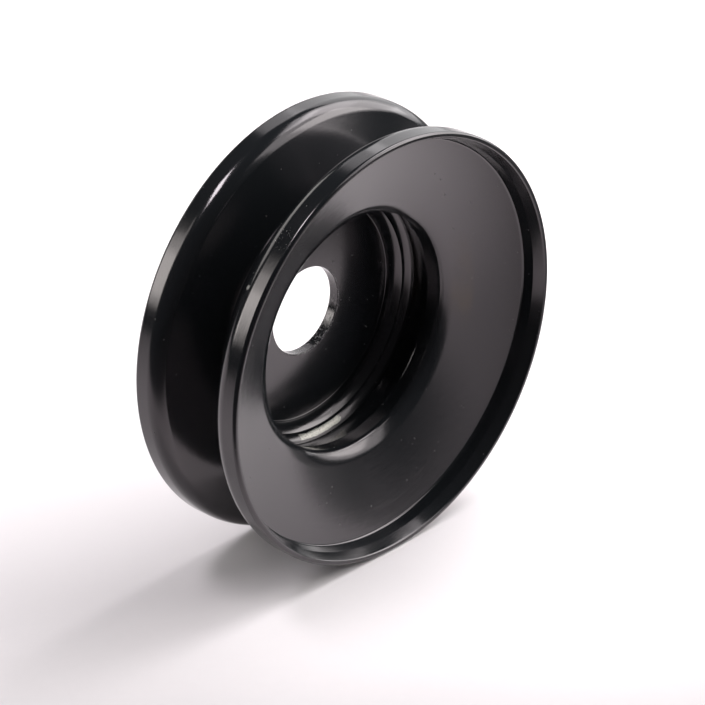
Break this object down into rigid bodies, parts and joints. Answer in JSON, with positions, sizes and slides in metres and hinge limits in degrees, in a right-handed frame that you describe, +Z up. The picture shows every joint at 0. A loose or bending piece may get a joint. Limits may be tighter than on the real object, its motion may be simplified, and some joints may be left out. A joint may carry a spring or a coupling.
{
  "type": "v-belt pulley",
  "caption": "Pressed-steel V-belt pulley: dished flanges with rolled rims form one belt groove around a drawn tube, closed at the back by a hub cup with a plain shaft bore.",
  "frame": {"origin": "middle of the pulley: on its turning axis, halfway between the outer planes of the two rims", "axes": "+Y is the turning axis and points out of the hub face, away from the cup's mouth; +Z is up, with the pulley standing on its rims; +X completes the right-handed set"},
  "size_m": [0.073, 0.022, 0.073],
  "materials": {
    "flange_paint": "gloss black coating on pressed steel",
    "hub_paint": "satin black coating on pressed steel"
  },
  "bodies": {
    "root": {"front_flange": "flange_paint", "rear_flange": "flange_paint", "hub_cup": "hub_paint"}
  },
  "joints": []
}
